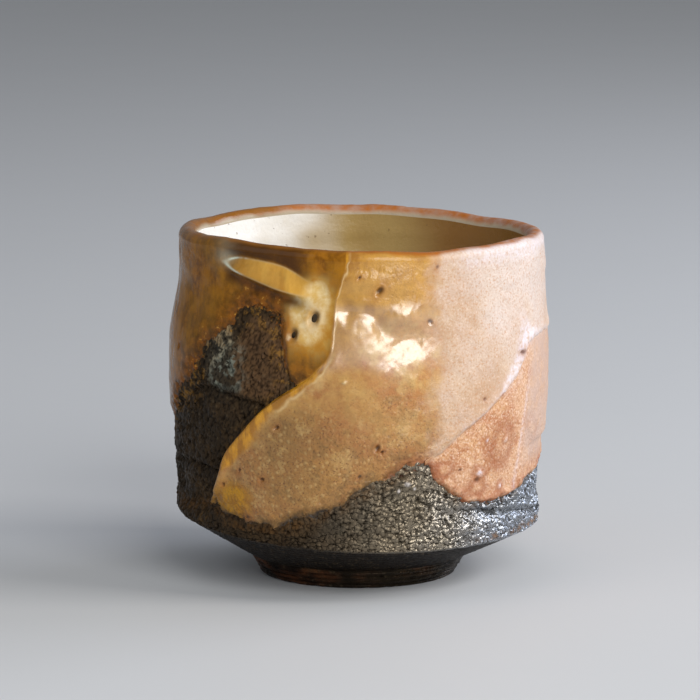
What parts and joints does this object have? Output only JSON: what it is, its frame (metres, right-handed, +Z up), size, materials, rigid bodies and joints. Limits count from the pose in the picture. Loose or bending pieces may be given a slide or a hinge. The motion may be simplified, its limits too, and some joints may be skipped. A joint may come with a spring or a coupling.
{
  "type": "sake cup",
  "caption": "Small hand-built stoneware drinking cup with a faceted wall, a thin glazed lip, glaze panels over bare dark clay, and a trimmed foot ring to stand on.",
  "frame": {"origin": "on the table, on the axis of the foot ring, under the middle of the cup", "axes": "+Z up towards the mouth, -Y towards the front with the amber panel, +X towards the satin panel on the right"},
  "size_m": [0.0658, 0.0656, 0.0606],
  "materials": {
    "bare_clay": "rough knife-cut stoneware with quartz grit",
    "base_clay": "rough trimmed stoneware",
    "foot_clay": "rough trimmed stoneware, rust brown",
    "liner_glaze": "glossy pale ash glaze",
    "lip_glaze": "thin iron-orange glaze",
    "front_glaze": "glossy amber ash glaze",
    "shoulder_glaze": "glossy brown ash glaze",
    "satin_glaze": "satin feldspar glaze",
    "side_glaze": "satin feldspar glaze with pinholes",
    "back_glaze": "satin feldspar glaze"
  },
  "bodies": {
    "root": {"wall": "bare_clay", "base_slab": "base_clay", "foot_ring": "foot_clay", "liner_glaze": "liner_glaze", "lip_glaze": "lip_glaze", "front_glaze": "front_glaze", "shoulder_glaze": "shoulder_glaze", "satin_glaze": "satin_glaze", "side_glaze": "side_glaze", "back_glaze": "back_glaze"}
  },
  "joints": []
}
